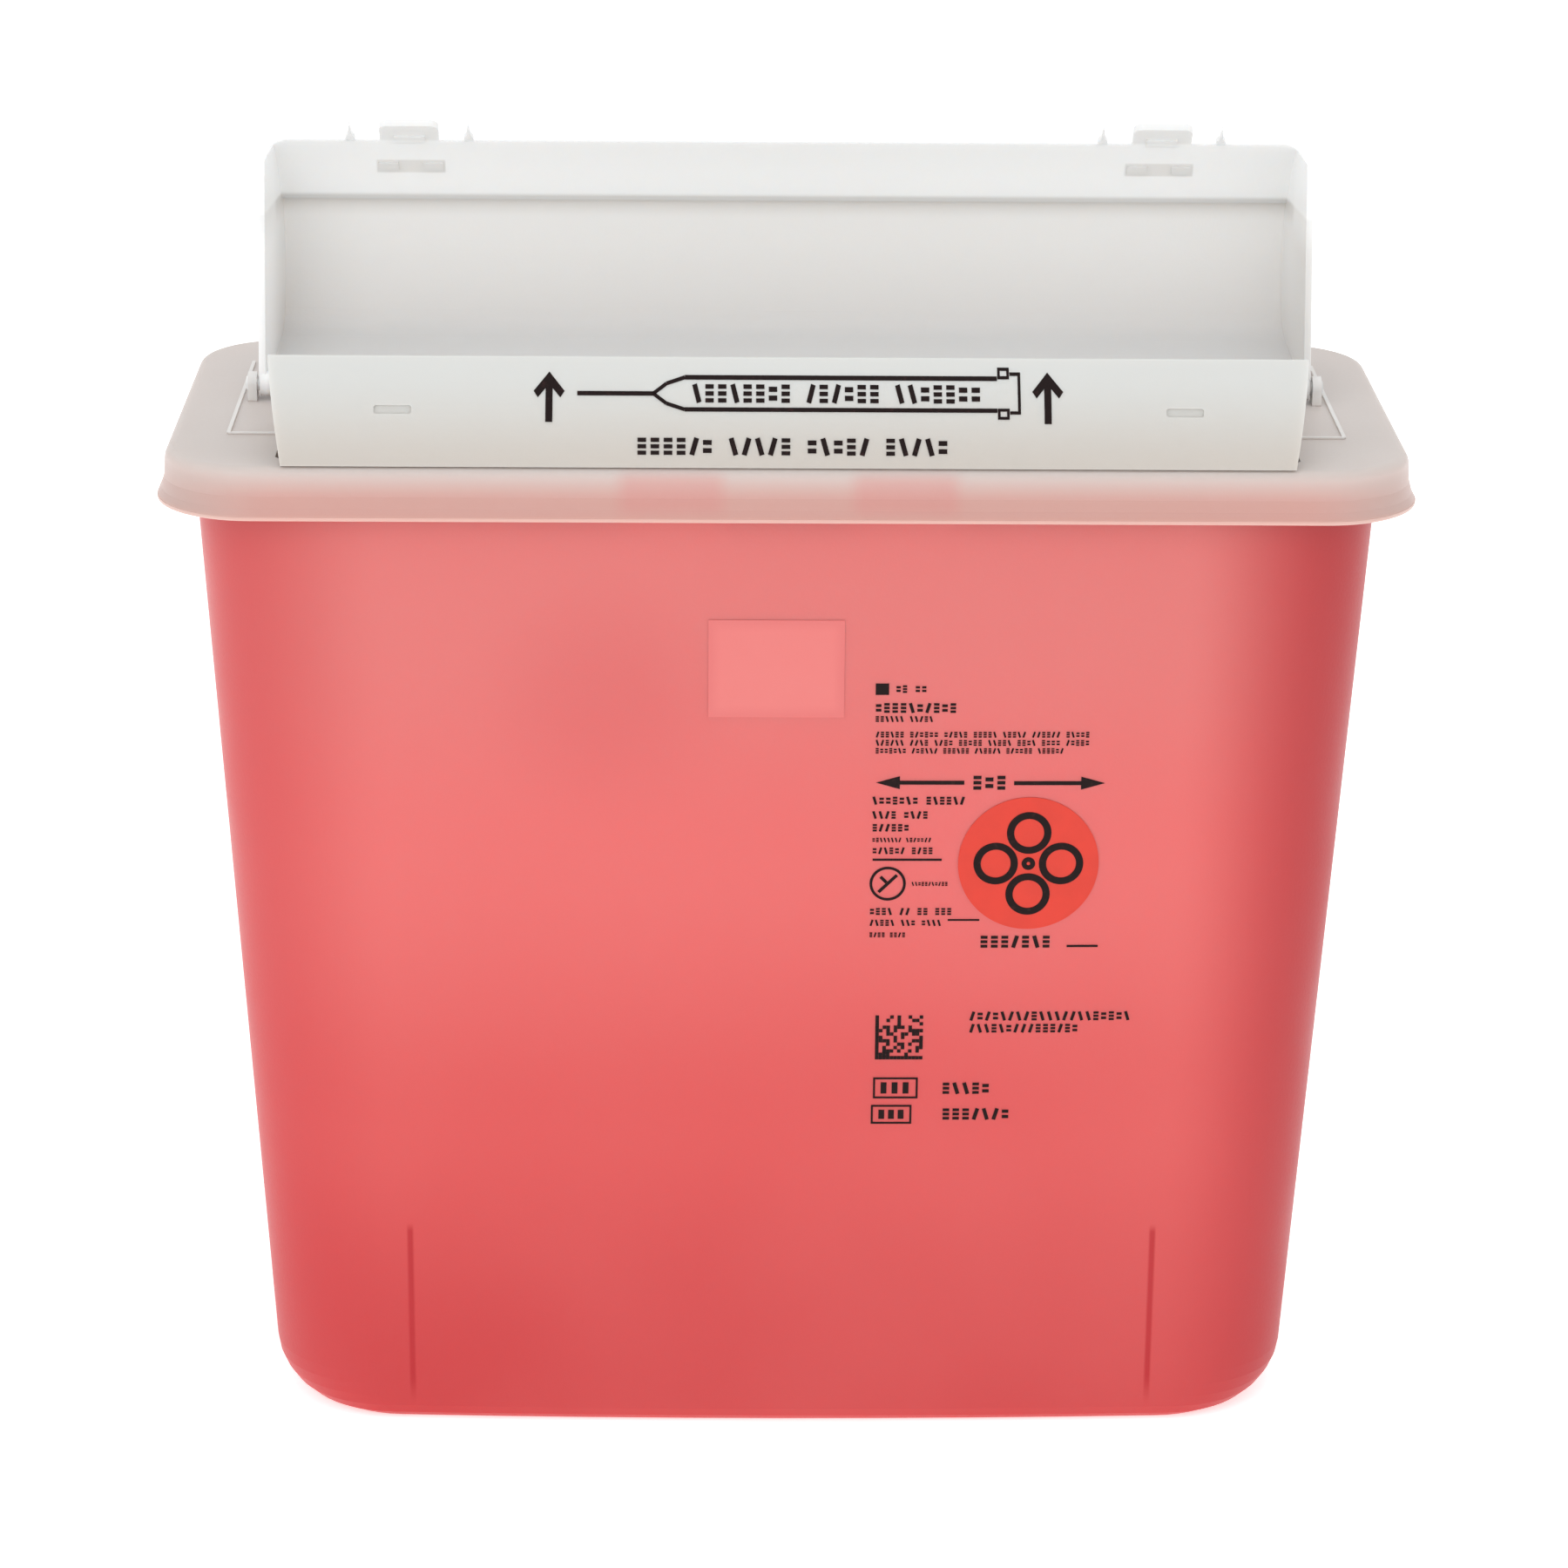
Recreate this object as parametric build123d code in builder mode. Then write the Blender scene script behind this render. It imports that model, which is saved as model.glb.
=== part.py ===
from build123d import *
import os
from math import cos, radians, sin, sqrt

# In-room sharps container: a tapered tub, a snapped-on lid frame, a counterbalanced
# tray that tips sharps into the tub, and a closure cover that stands open behind it.
# Millimetres. +X right, +Y towards the wall, +Z up. Origin at the centre of the base.

# Tub
TUB_BASE_WIDTH = 231.9
TUB_BASE_DEPTH = 92.0
WIDTH_TAPER = 0.1197            # width gained per mm of height
DEPTH_TAPER = 0.067             # depth gained per mm of height
TUB_HEIGHT = 226.0
TUB_CORNER = 24.0               # corner radius seen from above
BOW_BASE = 2.8                  # outward bow of the front wall, low down and at the rim
BOW_RIM = 1.2
TUB_SIDE_ROUND = 12.0           # bottom corner radius seen from the front
TUB_FRONT_ROUND = 3.0           # bottom edge radius seen from the side
TUB_WALL = 1.8
RIM_REACH = 1.2                 # rim flange beyond the wall
RIM_THICK = 2.0
LUG_X = 25.0                    # snap lugs under the rim
LUG_WIDTH = 22.0
LUG_REACH = 56.6
LUG_LOW = 219.4
RIB_X = 84.0                    # denesting ribs inside the front and back walls
RIB_HEIGHT = 49.0
RIB_DEPTH = 4.0
RIB_THICK = 1.5

# Lid frame
LID_WIDTH = 273.0
LID_DEPTH = 121.0
LID_CORNER = 21.7
LID_LOW = 217.2
DECK_TOP = 228.5
DECK_THICK = 1.8
SKIRT_WALL = 1.6
FLARE = 1.2                     # the skirt flares out to a thin lip at its foot
FLARE_HEIGHT = 5.2
LIP_HEIGHT = 0.9
SKIRT_LEAN = 0.8
EDGE_ROUND = 2.2                # rounding along the deck's edge
CATCH_REACH = 55.6              # inward edge of the catches under the lugs
OPENING_HALF = 110.0
OPENING_FRONT = -50.5
OPENING_BACK = 0.5
OPENING_CORNER = 1.5
FLANGE = 1.6
FLANGE_DEEP = 6.0
FLANGE_SHORT = 24.0             # how much shorter than the opening the long flanges are
CHEEK_LOW = 213.0
CHEEK_SHORT = 5.0               # how much shorter than the opening the cheeks are
PLUG_LOW = 220.0
PLUG_GAP = 0.6                  # between the plug wall and the tub
PLUG_WALL = 1.4
RIDGE_X = 121.7
RIDGE_FRONT = -30.4
RIDGE_BACK = 34.0
RIDGE_WIDTH = 0.8
RIDGE_TALL = 0.5

# Tray: everything lies inside a cylinder about its pivot
PIVOT_Y = -24.5
PIVOT_Z = 221.5
DRUM_R = 34.0
PANEL_THICK = 2.0
PANEL_LOW = 11.5                # degrees above the horizontal
PANEL_HIGH = 56.5
PANEL_ROUND = 0.9               # rounding along the panel's upper edge
PANEL_GAP = 0.2                 # between the panel's foot and the deck
TRAY_HALF = 107.1               # end walls' outer face at pivot height
TRAY_SPLAY = 9.1                # the ends lean outwards as they rise
END_WALL = 1.6
RAMP_TOP = (-19.7, 25.7)        # section points measured back and up from the pivot
RAMP_LOW = (20.0, 4.5)
LIP_TOP = (21.3, 9.4)
BEAM_BACK = -11.0               # counterbalance beam, so that the tray falls shut
BEAM_LOW = -11.0
BEAM_DEEP = 11.0
BEAM_CORNER = 1.5
WEB_X = (-72, -36, 36, 72)
WEB_THICK = 1.4
WEB_LOW = 13.0                  # the webs stop just above the deck
WEB_FOOT = 7.7
AXLE_R = 3.0
AXLE_GAP = 0.08
AXLE_END = 113.9
BOSS_R = 5.5
BOSS_LENGTH = 4.0               # lid bosses outside the opening
SHOULDER_END = 109.6
SLOT_ANGLE = 33.0
SLOT_WIDTH = 8.0
SLOT_TALL = 2.0
SLOT_DEEP = 0.5
SLOT_CORNER = 0.6

# Closure cover, drawn in its closed place about the hinge and then swung open
HINGE_Y = 1.0
HINGE_Z = 232.0
COVER_OPEN = -103.0
DOME_IN = 36.0                  # inside radius about the tray's pivot
DOME_THICK = 1.5
DOME_BACK = 112.0
DOME_ROUND = 11.5               # outside radius where the dome meets the wall from the hinge
CREASE = 61.0
STRIP_IN = 34.8
STRIP_OUT = 36.4
STRIP_END = 33.0
TAB_END = 24.0
TAB_X = 84.5
TAB_WIDTH = 13.3
TAB_CORNER = 2.2
TAB_ROOT = 6.0                  # degrees that a tab runs back over the strip
HOOK = (31.0, 35.0)             # degrees of the hook bar inside each tab
HOOK_HALF = 3.5
FOOT = (46.0, 50.0)             # degrees of the two feet inside each tab's root
FOOT_HALF = 2.2
FOOT_X = 5.0
BUMP = 0.5                      # how far hooks and feet stand out
FIN_OFFSET = 13.3
FIN_REACH = 4.6
FIN_FOOT = 2.2
PLATE_HALF = 117.4              # end plates' outer face at hinge height
PLATE_SPLAY = 4.9
PLATE_THICK = 1.5
PLATE_LOW = -1.8                # lower edge and free corner of an end plate
PLATE_REACH = -56.0
PLATE_CORNER = 5.0
COVER_TOP = 282.7
COVER_CORNER = 6.0              # upper corners seen from the front
BARREL_R = 2.7
PIN_R = 1.6
PIN_GAP = 0.08
PIN_PAST = 0.4                  # how far a pin shows beyond its ear
EAR_NEAR = 118.0
EAR_FAR = 120.0
EAR_R = 2.7

# Labels on the front wall
LABEL_THICK = 0.15
LABEL_GAP = 0.02
HAZARD_X, HAZARD_Z, HAZARD_R = 53.5, 137.6, 15.5
BLANK_X, BLANK_Z = -2.3, 182.7
BLANK_WIDTH, BLANK_HEIGHT = 29.5, 22.2


def bowed_outline(height, width, depth, radius, bow):
    """Rounded rectangle at a height, with its front edge bowed outwards."""
    x = width / 2
    y = depth / 2
    with BuildSketch(Plane.XY.offset(height)) as outline:
        with BuildLine():
            front = ThreePointArc((-x, -y), (0, -y - bow), (x, -y))
            Line(front @ 1, (x, y))
            Line((x, y), (-x, y))
            Line((-x, y), front @ 0)
        make_face()
        fillet(outline.vertices(), radius)
    return outline.sketch


def tub_outline(height, grow, trim_x=0.0, trim_y=0.0):
    """Outline of the tub at a height, grown outwards and trimmed where the base is rounded."""
    width = TUB_BASE_WIDTH + WIDTH_TAPER * height + 2 * (grow - trim_x)
    depth = TUB_BASE_DEPTH + DEPTH_TAPER * height + 2 * (grow - trim_y)
    bow = BOW_BASE + (BOW_RIM - BOW_BASE) * height / TUB_HEIGHT
    return bowed_outline(height, width, depth, TUB_CORNER + grow - trim_x / 3, bow)


def rounding(radius, rise):
    """How far a quarter-round edge stands back at a height above its base."""
    below = max(radius - rise, 0.0)
    return radius - sqrt(radius**2 - below**2)


def tub_block(grow, low, high):
    """Solid block of the tub's shape between two heights, with its rounded base edges."""
    side = TUB_SIDE_ROUND + grow
    front = TUB_FRONT_ROUND + grow
    sections = []
    for angle in range(0, 105, 15):
        rise = side * (1 - cos(radians(angle)))
        sections.append(tub_outline(low + rise, grow, rounding(side, rise), rounding(front, rise)))
    sections.append(tub_outline(high, grow))
    with BuildPart() as block:
        loft(sections, ruled=True)
    return block.part


def rim_outline(height, inset):
    """Outline of the lid frame at a height, set inwards from its lip."""
    with BuildSketch(Plane.XY.offset(height)) as outline:
        RectangleRounded(LID_WIDTH - 2 * inset, LID_DEPTH - 2 * inset, LID_CORNER - inset)
    return outline.sketch


def polar(radius, angle, centre=(0.0, 0.0)):
    """Point on a circle, its angle measured upwards from the forward horizontal."""
    a = radians(angle)
    return (centre[0] - radius * cos(a), centre[1] + radius * sin(a))


def ring_sector(plane, centre, inner, outer, low, high):
    """Sketch of part of a ring between two angles above the forward horizontal."""
    middle = (low + high) / 2
    with BuildSketch(plane) as sector:
        with BuildLine():
            ThreePointArc(polar(outer, low, centre), polar(outer, middle, centre), polar(outer, high, centre))
            Line(polar(outer, high, centre), polar(inner, high, centre))
            ThreePointArc(polar(inner, high, centre), polar(inner, middle, centre), polar(inner, low, centre))
            Line(polar(inner, low, centre), polar(outer, low, centre))
        make_face()
    return sector.sketch


# --- Tub -------------------------------------------------------------------------------

cavity = tub_block(-TUB_WALL, TUB_WALL, TUB_HEIGHT + 1)

with BuildPart() as tub:
    add(tub_block(0.0, 0.0, TUB_HEIGHT))
    # Rim flange, and the lugs that the lid frame snaps under
    extrude(tub_outline(TUB_HEIGHT - RIM_THICK, RIM_REACH), amount=RIM_THICK)
    with BuildSketch(Plane.XY.offset(LUG_LOW)):
        with GridLocations(2 * LUG_X, LUG_REACH, 2, 2):
            Rectangle(LUG_WIDTH, LUG_REACH)
    extrude(amount=TUB_HEIGHT - LUG_LOW)
    add(cavity, mode=Mode.SUBTRACT)

with BuildPart() as rib_stock:
    with BuildSketch(Plane.XY.offset(TUB_WALL / 2)):
        with GridLocations(2 * RIB_X, 0, 2, 1):
            Rectangle(RIB_THICK, TUB_BASE_DEPTH + RIB_DEPTH)
    extrude(amount=RIB_HEIGHT - TUB_WALL / 2)
    with BuildSketch(Plane.XY.offset(0.0)):
        Rectangle(TUB_BASE_WIDTH, TUB_BASE_DEPTH - 2 * (TUB_WALL + RIB_DEPTH))
    extrude(amount=RIB_HEIGHT, taper=-2, mode=Mode.SUBTRACT)
    add(tub_block(-TUB_WALL / 2, TUB_WALL / 2, TUB_HEIGHT), mode=Mode.INTERSECT)

with BuildPart() as ribbed_tub:
    add(tub.part)
    add(rib_stock.part)

ribbed_tub.part.label = "tub"


# --- Lid frame -------------------------------------------------------------------------

with BuildPart() as shell:
    loft([rim_outline(LID_LOW, FLARE), rim_outline(DECK_TOP, FLARE + SKIRT_LEAN)], ruled=True)
    fillet(shell.faces().sort_by(Axis.Z)[-1].edges(), EDGE_ROUND)

flare_low = LID_LOW + LIP_HEIGHT
flare_mid = LID_LOW + FLARE_HEIGHT / 2
flare_high = LID_LOW + FLARE_HEIGHT
with BuildPart() as foot_flare:
    extrude(rim_outline(LID_LOW, 0.0), amount=LIP_HEIGHT)
    fillet(foot_flare.faces().sort_by(Axis.Z)[0].edges(), LIP_HEIGHT / 2)
    loft([rim_outline(flare_low, 0.15), rim_outline(flare_mid, 0.75 * FLARE)], ruled=True)
    loft([rim_outline(flare_mid, 0.75 * FLARE), rim_outline(flare_high, FLARE + SKIRT_LEAN / 2)], ruled=True)

inner_inset = FLARE + SKIRT_WALL
with BuildPart() as hollow:
    loft(
        [rim_outline(LID_LOW - 1, inner_inset), rim_outline(DECK_TOP - DECK_THICK, inner_inset + SKIRT_LEAN)],
        ruled=True,
    )

opening_width = 2 * OPENING_HALF
opening_depth = OPENING_BACK - OPENING_FRONT
opening_mid = (OPENING_BACK + OPENING_FRONT) / 2
deck_under = DECK_TOP - DECK_THICK
overlap = 0.4                   # how far joined features run into each other
cheek_mid = OPENING_HALF + FLANGE / 2
pivot_plane = Plane(origin=(0, PIVOT_Y, PIVOT_Z), x_dir=(0, 1, 0), z_dir=(1, 0, 0))

with BuildPart() as lid_frame:
    add(shell.part)
    add(foot_flare.part)
    add(hollow.part, mode=Mode.SUBTRACT)
    # Plug wall inside the mouth of the tub
    plug_grow = -TUB_WALL - PLUG_GAP
    ring = tub_outline(PLUG_LOW, plug_grow) - tub_outline(PLUG_LOW, plug_grow - PLUG_WALL)
    extrude(ring, amount=deck_under + overlap - PLUG_LOW)
    # Flanges round the opening
    with BuildSketch(Plane.XY.offset(CHEEK_LOW)):
        with Locations((0, opening_mid)):
            with GridLocations(2 * cheek_mid, 0, 2, 1):
                Rectangle(FLANGE, opening_depth - CHEEK_SHORT)
    extrude(amount=deck_under + overlap - CHEEK_LOW)
    with BuildSketch(Plane.XY.offset(deck_under - FLANGE_DEEP)):
        with Locations((0, OPENING_BACK + FLANGE / 2), (0, OPENING_FRONT - FLANGE / 2)):
            Rectangle(opening_width - FLANGE_SHORT, FLANGE)
    extrude(amount=FLANGE_DEEP + overlap)
    # Bosses that carry the tray's axles
    for side in (1, -1):
        with BuildSketch(pivot_plane.offset(side * OPENING_HALF)):
            Circle(2 * AXLE_R)
        extrude(amount=side * BOSS_LENGTH)
    # The opening
    with BuildSketch(Plane.XY.offset(deck_under - 1)):
        with Locations((0, opening_mid)):
            RectangleRounded(opening_width, opening_depth, OPENING_CORNER)
    extrude(amount=DECK_THICK + 2, mode=Mode.SUBTRACT)
    # Fine ridge round the seat of the closure cover, one L each side
    ridge_length = RIDGE_BACK - RIDGE_FRONT
    ridge_cross = RIDGE_X - OPENING_HALF - 1
    with BuildSketch(Plane.XY.offset(DECK_TOP - overlap)):
        with Locations((0, RIDGE_FRONT + ridge_length / 2)):
            with GridLocations(2 * RIDGE_X, 0, 2, 1):
                Rectangle(RIDGE_WIDTH, ridge_length)
        with Locations((0, RIDGE_FRONT)):
            with GridLocations(2 * RIDGE_X - ridge_cross, 0, 2, 1):
                Rectangle(ridge_cross, RIDGE_WIDTH)
    extrude(amount=overlap + RIDGE_TALL)
    # Hinge ears
    ear_foot = HINGE_Z - DECK_TOP + overlap
    for near, far in ((EAR_NEAR, EAR_FAR), (-EAR_FAR, -EAR_NEAR)):
        with BuildSketch(Plane(origin=(near, HINGE_Y, HINGE_Z), x_dir=(0, 1, 0), z_dir=(1, 0, 0))):
            Circle(EAR_R)
            with Locations((0, -ear_foot / 2)):
                Rectangle(2 * EAR_R, ear_foot)
        extrude(amount=far - near)
    # Pivot holes and hinge holes, along X
    with BuildSketch(pivot_plane.offset(-LID_WIDTH / 2 + 12)):
        Circle(AXLE_R + AXLE_GAP)
    extrude(amount=LID_WIDTH - 24, mode=Mode.SUBTRACT)
    with BuildSketch(Plane(origin=(-LID_WIDTH / 2, HINGE_Y, HINGE_Z), x_dir=(0, 1, 0), z_dir=(1, 0, 0))):
        Circle(PIN_R + PIN_GAP)
    extrude(amount=LID_WIDTH, mode=Mode.SUBTRACT)
    # Catches under the tub's lugs
    catch_depth = LID_DEPTH / 2 - inner_inset + overlap - CATCH_REACH
    with BuildSketch(Plane.XY.offset(LID_LOW)):
        with GridLocations(2 * LUG_X, 2 * CATCH_REACH + catch_depth, 2, 2):
            Rectangle(LUG_WIDTH, catch_depth)
    extrude(amount=LUG_LOW - 0.2 - LID_LOW)

lid_frame.part.label = "lid_frame"


# --- Tray ------------------------------------------------------------------------------

def tray_end_plane(side):
    """Outer face of one of the tray's end walls, which leans outwards as it rises."""
    lean = radians(TRAY_SPLAY)
    return Plane(
        origin=(side * TRAY_HALF, PIVOT_Y, PIVOT_Z),
        x_dir=(0, 1, 0),
        z_dir=(cos(lean), 0, -side * sin(lean)),
    )


def tray_web(plane):
    """Side view of a tray web: one plate joins the panel, the ramp, the beam and the boss."""
    web_r = DRUM_R - 0.6
    with BuildSketch(plane) as web:
        with BuildLine():
            arc = ThreePointArc(
                polar(web_r, WEB_LOW),
                polar(web_r, (WEB_LOW + PANEL_HIGH) / 2),
                polar(web_r, PANEL_HIGH - 2),
            )
            Polyline(
                arc @ 1,
                (RAMP_LOW[0] - 0.3, RAMP_LOW[1] + 1.0),
                (RAMP_LOW[0] - 0.8, RAMP_LOW[1] - 3.0),
                (2.0, 1.0 - BOSS_R),
                (BEAM_BACK, BEAM_LOW + 0.5),
                (BEAM_BACK - BEAM_DEEP + 0.5, BEAM_LOW + 0.5),
                (BEAM_BACK - BEAM_DEEP + 0.5, WEB_FOOT),
                arc @ 0,
            )
        make_face()
    return web.sketch


with BuildPart() as tray_stock:
    # Front panel, a sector of the drum
    extrude(ring_sector(pivot_plane, (0, 0), DRUM_R - PANEL_THICK, DRUM_R, PANEL_LOW, PANEL_HIGH),
            amount=LID_WIDTH / 2, both=True)
    fillet(tray_stock.edges().filter_by(Axis.X).sort_by(Axis.Z)[-2:], PANEL_ROUND)
    with BuildSketch(Plane.XY.offset(DECK_TOP + PANEL_GAP)):
        Rectangle(LID_WIDTH, LID_DEPTH)
    extrude(amount=-PANEL_THICK, mode=Mode.SUBTRACT)
    # Ramp down to the rear lip
    with BuildSketch(pivot_plane):
        with BuildLine():
            Polyline(
                RAMP_TOP,
                RAMP_LOW,
                LIP_TOP,
                (LIP_TOP[0] - 1.5, LIP_TOP[1] + 0.4),
                (RAMP_LOW[0] - 1.6, RAMP_LOW[1] + 2.4),
                (RAMP_TOP[0] + 1.1, RAMP_TOP[1] + 1.4),
                close=True,
            )
        make_face()
    extrude(amount=LID_WIDTH / 2, both=True)
    # Counterbalance beam, in front of the pivot and below it
    with BuildSketch(pivot_plane):
        with Locations((BEAM_BACK - BEAM_DEEP / 2, BEAM_LOW + BEAM_DEEP / 2)):
            RectangleRounded(BEAM_DEEP, BEAM_DEEP, BEAM_CORNER)
    extrude(amount=LID_WIDTH / 2, both=True)
    # Ends trimmed to the leaning planes
    for side in (1, -1):
        with BuildSketch(tray_end_plane(side)):
            Rectangle(LID_DEPTH, LID_DEPTH)
        extrude(amount=side * 40, mode=Mode.SUBTRACT)

slot_y, slot_z = polar(DRUM_R, SLOT_ANGLE, (PIVOT_Y, PIVOT_Z))
slot_plane = Plane(
    origin=(0, slot_y, slot_z),
    x_dir=(1, 0, 0),
    z_dir=(0, -cos(radians(SLOT_ANGLE)), sin(radians(SLOT_ANGLE))),
)

with BuildPart() as tray:
    add(tray_stock.part)
    for side in (1, -1):
        extrude(tray_web(tray_end_plane(side)), amount=-side * END_WALL)
        # Shoulder and axle
        for start, end, radius in ((TRAY_HALF - 3, SHOULDER_END, BOSS_R), (TRAY_HALF - 1, AXLE_END, AXLE_R)):
            with BuildSketch(pivot_plane.offset(side * start)):
                Circle(radius)
            extrude(amount=side * (end - start))
    # Inner stiffening webs
    for x in WEB_X:
        extrude(tray_web(pivot_plane.offset(x)), amount=WEB_THICK / 2, both=True)
    # Shallow slots in the panel for the cover's hooks
    with BuildSketch(slot_plane):
        with GridLocations(2 * TAB_X, 0, 2, 1):
            RectangleRounded(SLOT_WIDTH, SLOT_TALL, SLOT_CORNER)
    extrude(amount=SLOT_DEEP, both=True, mode=Mode.SUBTRACT)

tray.part.label = "tray"


# --- Closure cover -----------------------------------------------------------------------

swing = radians(COVER_OPEN)
dome_centre = (PIVOT_Y - HINGE_Y, PIVOT_Z - HINGE_Z)
dome_out = DOME_IN + DOME_THICK


def cover_plane(x, splay=0.0):
    """Side-view plane of the cover, swung to the open place, at a distance along the hinge."""
    lean = radians(splay)
    side = 1 if x >= 0 else -1
    return Plane(
        origin=(x, HINGE_Y, HINGE_Z),
        x_dir=(0, cos(swing), sin(swing)),
        z_dir=(cos(lean), -side * sin(lean) * sin(swing), side * sin(lean) * cos(swing)),
    )


def cover_sheet():
    """Side view of the cover's sheet: the wall from the hinge, then the dome as far as the crease."""
    with BuildSketch(cover_plane(0)) as sheet:
        with BuildLine():
            outer = ThreePointArc(
                polar(dome_out, CREASE, dome_centre),
                polar(dome_out, (CREASE + DOME_BACK) / 2, dome_centre),
                polar(dome_out, DOME_BACK, dome_centre),
            )
            Polyline(outer @ 1, (2.4, 1.2), (0.6, -1.6), polar(DOME_IN, DOME_BACK, dome_centre))
            inner = ThreePointArc(
                polar(DOME_IN, DOME_BACK, dome_centre),
                polar(DOME_IN, (CREASE + DOME_BACK) / 2, dome_centre),
                polar(DOME_IN, CREASE, dome_centre),
            )
            Line(inner @ 1, outer @ 0)
        make_face()
        corners = sheet.vertices().sort_by_distance(polar(dome_out, DOME_BACK, dome_centre))
        fillet(corners[0], DOME_ROUND)
        corners = sheet.vertices().sort_by_distance(polar(DOME_IN, DOME_BACK, dome_centre))
        fillet(corners[0], DOME_ROUND - DOME_THICK)
    return sheet.sketch


def plate_outline(plane):
    """Side view of an end plate, from the hinge barrel round under the dome and the strip."""
    with BuildSketch(plane) as plate:
        with BuildLine():
            dome = ThreePointArc(
                polar(dome_out - 0.3, CREASE, dome_centre),
                polar(dome_out - 0.3, (CREASE + DOME_BACK) / 2, dome_centre),
                polar(dome_out - 0.3, DOME_BACK + 1, dome_centre),
            )
            strip = ThreePointArc(
                polar(STRIP_OUT - 0.2, STRIP_END, dome_centre),
                polar(STRIP_OUT - 0.2, (STRIP_END + CREASE) / 2, dome_centre),
                polar(STRIP_OUT - 0.2, CREASE, dome_centre),
            )
            Line(strip @ 1, dome @ 0)
            Polyline(dome @ 1, (2.2, 1.0), (0.6, PLATE_LOW), (PLATE_REACH, PLATE_LOW), strip @ 0)
        make_face()
        fillet(plate.vertices().sort_by_distance((PLATE_REACH, PLATE_LOW))[0], PLATE_CORNER)
    return plate.sketch


with BuildPart() as cover_body:
    sheet_half = PLATE_HALF - 1.5
    extrude(cover_sheet(), amount=sheet_half, both=True)
    extrude(ring_sector(cover_plane(0), dome_centre, STRIP_IN, dome_out, CREASE - 1, CREASE + 1.6),
            amount=sheet_half, both=True)
    extrude(ring_sector(cover_plane(0), dome_centre, STRIP_IN, STRIP_OUT, STRIP_END, CREASE),
            amount=sheet_half, both=True)
    # Trim the sheet to the leaning end plates, then add the plates
    for side in (1, -1):
        with BuildSketch(cover_plane(side * PLATE_HALF, PLATE_SPLAY)):
            Rectangle(200, 200)
        extrude(amount=side * 20, mode=Mode.SUBTRACT)
        extrude(plate_outline(cover_plane(side * PLATE_HALF, PLATE_SPLAY)), amount=-side * PLATE_THICK)
    # Rounded upper corners seen from the front
    with BuildSketch(Plane.XZ.offset(-60)):
        with Locations((0, COVER_TOP - 40)):
            RectangleRounded(2 * PLATE_HALF + 0.5, 80, COVER_CORNER)
    extrude(amount=120, mode=Mode.INTERSECT)

def strip_plane(x):
    """Plane lying against the inside of the strip at its free edge, its normal outwards."""
    side_view = cover_plane(x)
    inside = side_view.from_local_coords(Vector(*polar(STRIP_IN, STRIP_END, dome_centre), 0))
    outside = side_view.from_local_coords(Vector(*polar(STRIP_OUT, STRIP_END, dome_centre), 0))
    return Plane(origin=inside, x_dir=(1, 0, 0), z_dir=outside - inside)


def snap_tab(x):
    """One snap tab of the closure cover, with its outer corners rounded."""
    with BuildPart() as tab:
        extrude(ring_sector(cover_plane(x), dome_centre, STRIP_IN, STRIP_OUT, TAB_END, STRIP_END + TAB_ROOT),
                amount=TAB_WIDTH / 2, both=True)
        fillet(tab.edges().sort_by(SortBy.LENGTH)[:4].sort_by(Axis.Z)[-2:], TAB_CORNER)
    return tab.part


with BuildPart() as closure_cover:
    add(cover_body.part)
    # Snap tabs with their hooks and feet, and the pointed guide fins beside them
    for side in (1, -1):
        add(snap_tab(side * TAB_X))
        bump = (STRIP_IN - BUMP, STRIP_IN + 0.3)
        hook_plane = cover_plane(side * TAB_X)
        extrude(ring_sector(hook_plane, dome_centre, *bump, *HOOK), amount=HOOK_HALF, both=True)
        for foot in (-FOOT_X, FOOT_X):
            foot_plane = cover_plane(side * TAB_X + foot)
            extrude(ring_sector(foot_plane, dome_centre, *bump, *FOOT), amount=FOOT_HALF, both=True)
        for fin in (-FIN_OFFSET, FIN_OFFSET):
            with BuildSketch(strip_plane(side * TAB_X + fin).offset(0.2)):
                with BuildLine():
                    Polyline(
                        (-FIN_FOOT / 2, 1.5),
                        (-FIN_FOOT / 2, 0.3),
                        (-0.45, -1.0),
                        (-0.15, -FIN_REACH),
                        (0.15, -FIN_REACH),
                        (0.45, -1.0),
                        (FIN_FOOT / 2, 0.3),
                        (FIN_FOOT / 2, 1.5),
                        close=True,
                    )
                make_face()
            extrude(amount=STRIP_OUT - STRIP_IN - 0.4)
    # Hinge barrels, then the pins that run on through the ears
    pin_length = EAR_FAR + PIN_PAST - (PLATE_HALF - 2)
    for side in (1, -1):
        with BuildSketch(cover_plane(side * (PLATE_HALF - 6))):
            Circle(BARREL_R)
        extrude(amount=side * 5.9)
        with BuildSketch(cover_plane(side * (PLATE_HALF - 2))):
            Circle(PIN_R)
        extrude(amount=side * pin_length)

closure_cover.part.label = "closure_cover"


# --- Labels ------------------------------------------------------------------------------

def wall_skin():
    """Thin skin over the outside of the tub, from which a label is cut."""
    with BuildPart() as skin:
        loft([tub_outline(60, LABEL_THICK), tub_outline(200, LABEL_THICK)], ruled=True)
        loft([tub_outline(59, LABEL_GAP), tub_outline(201, LABEL_GAP)], ruled=True, mode=Mode.SUBTRACT)
    return skin.part


front_skin = wall_skin()

with BuildPart() as hazard_label:
    with BuildSketch(Plane.XZ.offset(30)):
        with Locations((HAZARD_X, HAZARD_Z)):
            Circle(HAZARD_R)
    extrude(amount=40)
    add(front_skin, mode=Mode.INTERSECT)

hazard_label.part.label = "hazard_label"

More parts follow.
